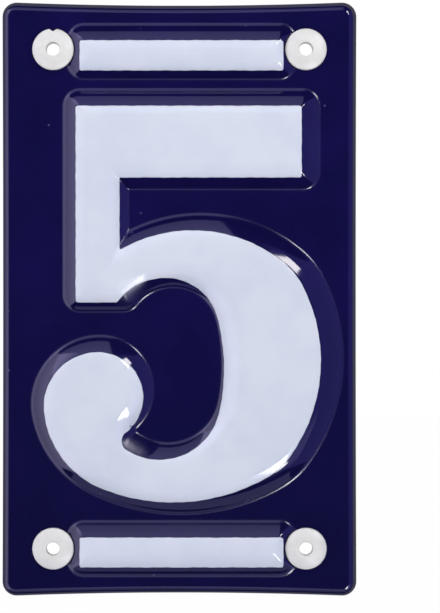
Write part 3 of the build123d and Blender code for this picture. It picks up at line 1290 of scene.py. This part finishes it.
@dataclass
class PressedPlate:
    """The blue plate: its front, its hollow back, its turned edge and its four sleeve holes."""

    form: PlateForm
    sheet: float = 1.1
    hole_radius: float = 3.15
    hole_sides: int = 64
    hole_margin: float = 0.1
    seat_steps: tuple[float, ...] = (-0.3, -0.1, -0.03, 0.03, 0.1, 0.3)
    seat_sides: int = 96
    lip_steps: tuple[float, ...] = (0.01, 0.03, 0.055)
    bend_start: float = 0.08
    lean_cover: float = 1.5
    bend_steps: int = 12
    edge_slack: float = 0.004
    rim_depth: float = 0.5

    def points(self) -> np.ndarray:
        """The loose points of the plate's face."""
        form = self.form
        outline = form.edge.outlines[0]
        widest = form.edge_bend + form.edge_run + self.lean_cover * form.edge_lean
        bends = [*self.lip_steps, *np.linspace(self.bend_start, widest, self.bend_steps)]
        seats = [
            circle(form.screw_place(corner), form.seat_radius + step, self.seat_sides)
            for corner in ScrewCorner
            for step in self.seat_steps
        ]
        bent = inner_rings(outline, bends)
        loose = np.concatenate([form.relief_points(), bent, *seats, form.loose_points()])
        depth, _ = form.edge.depth(loose)
        clear = depth > self.edge_slack
        for corner in ScrewCorner:
            clear &= np.abs(loose - form.screw_place(corner)) > self.hole_radius + self.hole_margin
        return loose[clear]

    def build(self, material: bpy.types.Material) -> bpy.types.Object:
        """Makes the plate.

        Args:
            material: Its finish.

        Returns:
            The piece.
        """
        form = self.form
        outline = form.edge.outlines[0]
        screws = [form.screw_place(corner) for corner in ScrewCorner]
        holes = [circle(screw, self.hole_radius, self.hole_sides) for screw in screws]
        points, triangles = triangles_over(self.points(), [outline, *holes])
        middles = points[triangles].mean(axis=1)
        kept = inside_outline(middles, outline)
        for screw in screws:
            kept &= np.abs(middles - screw) > self.hole_radius * cos(pi / self.hole_sides)
        triangles = faced_front(points, triangles[kept])

        shell = Shell()
        height, slope = form.front_surface(points)
        outwards = facing(slope)
        front = lifted(points, height, form.front)
        shell.skin(front, triangles, outwards)
        under_height, under_slope = form.back_surface(points, self.sheet)
        inwards = facing(under_slope)
        back = lifted(points, under_height, form.front) - inwards * self.sheet
        shell.skin(back, triangles[:, ::-1], -inwards)
        self.close(shell, points, triangles, front, back)
        return shell.piece("pressed_plate", material)

    def close(
        self, shell: Shell, points: np.ndarray, triangles: np.ndarray, front: np.ndarray, back: np.ndarray
    ) -> None:
        """Joins front and back round the sleeve holes and down to the wall round the edge.

        Args:
            shell: The mesh in the making.
            points: The face's points.
            triangles: The face's triangles.
            front: The places of the points on the front.
            back: The places of the points on the back.
        """
        on_wall = np.array([1.0, 0.0, 1.0])
        start, end = border_sides(triangles).T
        depth, _ = self.form.edge.depth(points[start])
        rim = depth < self.rim_depth
        start_hole, end_hole = start[~rim], end[~rim]
        shell.wall(front[end_hole], front[start_hole], back[start_hole], back[end_hole])
        start, end = start[rim], end[rim]
        shell.wall(front[end], front[start], front[start] * on_wall, front[end] * on_wall)
        shell.wall(front[end] * on_wall, front[start] * on_wall, back[start] * on_wall, back[end] * on_wall)
        shell.wall(back[end] * on_wall, back[start] * on_wall, back[start], back[end])


@dataclass
class WhiteField:
    """A field of white enamel that lies over the plate's relief."""

    form: PlateForm
    outline: np.ndarray
    coat: float = 0.12
    edge_round: float = 0.22
    edge_steps: tuple[float, ...] = (0.1, 0.3, 0.6, 1.0, 1.6)
    edge_slack: float = 0.015
    edge_flattest: float = 0.15
    lip_width: float = 0.005
    lip_sink: float = 0.01
    sunk: float = 0.05
    waver: float = 0.05
    waver_length: float = 9.0
    short_waver: float = 0.37

    def edge(self) -> np.ndarray:
        """The field's edge, which wavers a little as a stencilled edge does."""
        along = np.roll(self.outline, -1) - np.roll(self.outline, 1)
        inwards = -1j * along / np.abs(along)
        run = np.cumsum(np.abs(along) / 2)
        swing = 2 * pi * run / self.waver_length
        wave = np.sin(swing) + np.sin(swing / self.short_waver)
        return self.outline + inwards * self.waver * wave / 2

    def build(self, name: str, material: bpy.types.Material) -> bpy.types.Object:
        """Makes the field.

        Args:
            name: The piece's name.
            material: Its finish.

        Returns:
            The piece.
        """
        edge = self.edge()
        border = OutlineField([edge])
        loose = np.concatenate([self.form.relief_points(), self.form.loose_points()])
        depth, _ = border.depth(loose)
        rings = inner_rings(edge, [self.edge_round * share for share in self.edge_steps])
        ring_depth, _ = border.depth(rings)
        loose = np.concatenate([loose[depth > 2 * self.edge_round], rings[ring_depth > self.edge_slack]])
        points, triangles = triangles_over(loose, [edge])
        triangles = faced_front(points, triangles[inside_outline(points[triangles].mean(axis=1), edge)])

        ground, slope = self.form.front_surface(points)
        depth, inwards = border.depth(points)
        share = 1 - np.clip(depth / self.edge_round, 0, 1)
        rise = self.coat * np.sqrt(1 - share**2)
        flat = np.sqrt(np.maximum(1 - share**2, self.edge_flattest))
        steep = self.coat / self.edge_round * share / flat
        outwards = facing(slope + steep * inwards)
        rise = np.where(depth < self.lip_width, -self.lip_sink, rise)
        top = lifted(points, ground + rise, self.form.front)
        bottom = lifted(points, ground - self.sunk, self.form.front)
        shell = Shell()
        shell.skin(top, triangles, outwards)
        shell.skin(bottom, triangles[:, ::-1], -facing(slope))
        start, end = border_sides(triangles).T
        shell.wall(top[end], top[start], bottom[start], bottom[end])
        return shell.piece(name, material)


@dataclass
class ScrewEyelet:
    """A moulded eyelet: a domed flange on the plate and a sleeve that reaches the wall, in millimetres."""

    form: PlateForm
    corner: ScrewCorner
    bore_radius: float = 1.7
    sleeve_radius: float = 3.0
    flange_radius: float = 5.25
    flange_height: float = 1.7
    flange_rim: float = 1.0
    flange_round: float = 0.4
    bore_round: float = 0.3
    notch_width: float = 1.2
    notch_depth: float = 0.75
    notch_margin: float = 0.2
    notch_narrowest: float = 0.05
    lip_steps: int = 7
    dome_steps: int = 12
    rim_steps: int = 8
    rim_margin: float = 0.05
    sharp_angle: float = 38.0
    segments: int = 192

    def section(self) -> np.ndarray:
        """The eyelet's half section as rows of radius and height over the plate's flat front."""
        drop = self.flange_height - self.flange_rim
        span = self.flange_radius - self.bore_radius
        dome = (span**2 + drop**2) / (2 * drop)
        centre_height = self.flange_height - dome
        rim_tilt = asin(span / dome)
        rim_centre = self.flange_radius - self.flange_round
        rim_inside = rim_centre - self.bore_radius
        rim_height = centre_height + sqrt((dome - self.flange_round) ** 2 - rim_inside**2)
        wall = -self.form.front
        rows = [(self.sleeve_radius, wall), (self.bore_radius, wall), (self.bore_radius, wall / 2)]
        lip_centre = self.bore_radius + self.bore_round
        lip_height = self.flange_height - self.bore_round
        for tilt in np.linspace(pi, pi / 2, self.lip_steps):
            rows.append((lip_centre + self.bore_round * cos(tilt), lip_height + self.bore_round * sin(tilt)))
        for tilt in np.linspace(0, rim_tilt, self.dome_steps)[2:]:
            rows.append((self.bore_radius + dome * sin(tilt), centre_height + dome * cos(tilt)))
        rim_start = rim_centre + self.flange_round * sin(rim_tilt)
        rows = [row for row in rows if row[0] < rim_start - self.rim_margin]
        for tilt in np.linspace(rim_tilt, pi / 2, self.rim_steps):
            reach = rim_centre + self.flange_round * sin(tilt)
            rows.append((reach, rim_height + self.flange_round * cos(tilt)))
        rows += [(self.flange_radius, 0.0), (self.sleeve_radius, 0.0)]
        return np.array(rows)

    def build(self, material: bpy.types.Material) -> bpy.types.Object:
        """Makes the eyelet.

        Args:
            material: Its finish.

        Returns:
            The piece.
        """
        centre = self.form.screw_place(self.corner)
        rows = self.section()
        angles = 2 * pi * np.arange(self.segments) / self.segments
        radius = np.repeat(rows[:, :1], self.segments, axis=1)
        if self.corner is ScrewCorner.TOP_LEFT:
            flare = self.notch_depth / self.notch_width
            opening = np.cos(angles) - flare * np.abs(np.sin(angles))
            stop = (self.flange_radius - self.notch_depth) / np.maximum(opening, self.notch_narrowest)
            cut = (rows[:, 1:] >= -TINY) & (rows[:, :1] > self.sleeve_radius + self.notch_margin)
            radius = np.where(cut, np.minimum(radius, stop), radius)
        across = centre.real + radius * np.sin(angles)
        up = centre.imag + radius * np.cos(angles)
        away = np.repeat(-(self.form.front + rows[:, 1:]), self.segments, axis=1)
        places = np.stack([across, away, up], axis=-1).reshape(-1, 3)
        name = "eyelet_" + self.corner.name.lower()
        mesh = bpy.data.meshes.new(name)
        near = np.arange(radius.size).reshape(radius.shape)
        far = np.roll(near, -1, axis=0)
        faces = np.stack([near, np.roll(near, -1, axis=1), np.roll(far, -1, axis=1), far], axis=-1)
        mesh.from_pydata(places * MM, [], faces.reshape(-1, 4).tolist())
        mesh.polygons.foreach_set("use_smooth", np.ones(len(mesh.polygons), bool))
        mesh.set_sharp_from_angle(angle=radians(self.sharp_angle))
        mesh.materials.append(material)
        made = bpy.data.objects.new(name, mesh)
        bpy.context.scene.collection.objects.link(made)
        return made


class Reach(Enum):
    """What a light falls on: matt colour or glossy reflections."""

    MATT = (True, False)
    GLOSS = (False, True)


@dataclass(frozen=True)
class LightPanel:
    """A soft light between two angles off the plaque's axis, in degrees, with its strength set by stops."""

    name: str
    bearing: float
    inner: float
    outer: float
    width: float
    radiance: float
    reach: Reach
    colour: Colour = WHITE
    stops: tuple[Span, ...] = ((0.0, 1.0), (1.0, 1.0))
    distance: float = 0.6
    slide: float = 0.0

    def build(self) -> None:
        """Makes the light, facing the plaque."""
        tilt, bearing = radians((self.inner + self.outer) / 2), radians(self.bearing)
        towards = Vector((sin(tilt) * cos(bearing), -cos(tilt), sin(tilt) * sin(bearing)))
        outwards = Vector((cos(tilt) * cos(bearing), sin(tilt), cos(tilt) * sin(bearing)))
        across = outwards.cross(towards)
        data = bpy.data.lights.new(self.name, "AREA")
        data.shape = "RECTANGLE"
        data.size = self.width
        data.size_y = 2 * self.distance * tan(radians((self.outer - self.inner) / 2))
        data.energy = self.radiance * pi * data.size * data.size_y
        data.color = self.colour
        self.grade(data, outwards)
        made = bpy.data.objects.new(self.name, data)
        turned = Matrix((across, outwards, towards)).transposed().to_4x4()
        made.matrix_world = Matrix.Translation(towards * self.distance + across * self.slide) @ turned
        made.visible_camera = False
        made.visible_diffuse, made.visible_glossy = self.reach.value
        bpy.context.scene.collection.objects.link(made)

    def grade(self, data: bpy.types.Light, outwards: Vector) -> None:
        """Lets the light fade along its stops, from its inner to its outer side.

        Args:
            data: The light.
            outwards: The direction from its inner to its outer side.
        """
        data.use_nodes = True
        tree = data.node_tree
        spot = add_node(tree, "ShaderNodeNewGeometry").outputs["Position"]
        along = add_node(tree, "ShaderNodeVectorMath", {0: spot, 1: outwards}, operation="DOT_PRODUCT")
        half = data.size_y / 2
        inputs = {"Value": along.outputs["Value"], "From Min": -half, "From Max": half}
        share = add_node(tree, "ShaderNodeMapRange", inputs).outputs[0]
        ramp = add_node(tree, "ShaderNodeValToRGB", {"Fac": share})
        for number, (place, strength) in enumerate(self.stops):
            stops = ramp.color_ramp.elements
            stop = stops[number] if number < len(stops) else stops.new(place)
            stop.position = place
            stop.color = (strength, strength, strength, 1.0)
        tree.links.new(ramp.outputs["Color"], tree.nodes["Emission"].inputs["Color"])


@dataclass
class Studio:
    """The floor, the lights, the background and the camera, in metres, with the plaque's shift in pixels."""

    panels: tuple[LightPanel, ...] = (
        LightPanel("front_fill", 90.0, -59.0, 59.0, 2.0, 1.63, Reach.MATT),
        LightPanel(
            "left_panel", 180.0, 22.0, 96.0, 1.2, 2.1, Reach.GLOSS, (1.0, 0.92, 1.4),
            ((0.0, 0.0), (0.12, 0.35), (0.3, 0.75), (0.42, 1.0), (0.75, 0.6), (1.0, 0.5)),
        ),
        LightPanel(
            "top_panel", 90.0, 20.0, 71.0, 0.7, 1.0, Reach.GLOSS, (0.98, 0.92, 1.7),
            ((0.0, 0.0), (0.12, 0.9), (0.3, 1.0), (0.95, 0.65), (1.0, 0.0)), slide=-0.25,
        ),
        LightPanel(
            "low_panel", -90.0, 16.0, 46.0, 1.0, 0.6, Reach.GLOSS, (0.8, 0.76, 1.35),
            ((0.0, 0.0), (0.25, 1.0), (0.75, 1.0), (1.0, 0.0)),
        ),
        LightPanel(
            "foot_strip", -90.0, 70.2, 84.6, 0.12, 0.55, Reach.GLOSS, (0.9, 0.85, 1.6), distance=0.087,
        ),
        LightPanel(
            "right_panel", 0.0, 16.0, 94.0, 1.0, 0.95, Reach.GLOSS, (0.27, 0.24, 1.1),
            ((0.0, 0.0), (0.2, 0.8), (0.8, 1.0), (1.0, 1.0)),
        ),
        LightPanel("upper_lamp", 44.0, 27.0, 45.0, 0.085, 20.0, Reach.GLOSS, (1.0, 0.96, 0.99)),
        LightPanel("lower_lamp", -54.0, 24.0, 43.0, 0.08, 22.0, Reach.GLOSS),
    )
    floor_size: float = 3.0
    floor_gap: float = 0.0005
    ambient: float = 0.03
    surround: float = 0.5
    surround_fade: Span = (0.12, 0.25)
    camera_distance: float = 1.0
    focus_depth: float = 0.0034
    frame_height: float = 0.15478
    image_height: int = 613
    plaque_left: float = 40.5
    plaque_up: float = 7.5

    def build(self, floor_material: bpy.types.Material) -> None:
        """Makes everything round the plaque.

        Args:
            floor_material: The floor's finish.
        """
        for panel in self.panels:
            panel.build()
        self.build_floor(floor_material)
        self.build_background()
        self.build_camera()
        bpy.context.scene.view_settings.view_transform = "Standard"
        log.info("studio: %d lights", len(self.panels))

    def build_floor(self, material: bpy.types.Material) -> None:
        """Makes the floor under the plaque, which takes its shadow and casts none.

        Args:
            material: Its finish.
        """
        level = cad_bounds[0][2] - self.floor_gap
        half = self.floor_size / 2
        mesh = bpy.data.meshes.new("floor")
        corners = [(-half, -half, level), (half, -half, level), (half, half, level), (-half, half, level)]
        mesh.from_pydata(corners, [], [(0, 1, 2, 3)])
        mesh.materials.append(material)
        made = bpy.data.objects.new("floor", mesh)
        bpy.context.scene.collection.objects.link(made)
        made.visible_glossy = False
        made.visible_shadow = False

    def build_background(self) -> None:
        """Shows white to the camera, half white from behind in reflections and a dim room otherwise."""
        world = bpy.data.worlds.new("studio_background")
        world.use_nodes = True
        tree = world.node_tree
        white = tree.nodes["Background"]
        white.inputs["Color"].default_value = rgba(WHITE)
        white.inputs["Strength"].default_value = 1.0
        direction = add_node(tree, "ShaderNodeTexCoord").outputs["Generated"]
        behind = add_node(tree, "ShaderNodeSeparateXYZ", {"Vector": direction}).outputs["Y"]
        mirrored = ranged(tree, behind, self.surround_fade, (self.ambient, self.surround))
        rays = add_node(tree, "ShaderNodeLightPath").outputs
        strengths = {"Factor": rays["Is Glossy Ray"], 2: self.ambient, 3: mirrored}
        dim = add_node(tree, "ShaderNodeMix", strengths).outputs[0]
        room = add_node(tree, "ShaderNodeBackground", {"Color": rgba(WHITE), "Strength": dim})
        shown = {0: rays["Is Camera Ray"], 1: room.outputs["Background"], 2: white.outputs["Background"]}
        both = add_node(tree, "ShaderNodeMixShader", shown)
        tree.links.new(both.outputs["Shader"], tree.nodes["World Output"].inputs["Surface"])
        bpy.context.scene.world = world

    def build_camera(self) -> None:
        """Looks straight at the plaque, which stands left of the middle of the frame."""
        data = bpy.data.cameras.new("camera")
        data.lens = data.sensor_width * (self.camera_distance - self.focus_depth) / self.frame_height
        data.shift_x = self.plaque_left / self.image_height
        data.shift_y = -self.plaque_up / self.image_height
        made = bpy.data.objects.new("camera", data)
        made.location = (0.0, -self.camera_distance, 0.0)
        made.rotation_euler = (pi / 2, 0.0, 0.0)
        bpy.context.scene.collection.objects.link(made)
        bpy.context.scene.camera = made


def main() -> None:
    """Builds the plaque's pieces and their studio in order."""
    logging.basicConfig(level=logging.INFO, format="%(name)s: %(message)s")
    effects = SharedEffects()
    form = PlateForm()
    white = WhiteEnamel().material(effects)
    nylon = MouldedNylon().material(effects)
    settle(PressedPlate(form).build(BlueEnamel().material(effects)), "plate")

    five = WhiteField(form, form.white_numeral())
    settle(five.build("numeral_white", white), "numeral_enamel")
    for end in BarEnd:
        word = end.name.lower()
        bar = WhiteField(form, form.white_bar(end))
        settle(bar.build(word + "_bar_white", white), word + "_bar_enamel")
    for corner in ScrewCorner:
        node = "screw_eyelet_" + corner.name.lower()
        settle(ScrewEyelet(form, corner).build(nylon), node)
    Studio().build(PaleFloor().material())


if __name__ == "__main__":
    main()
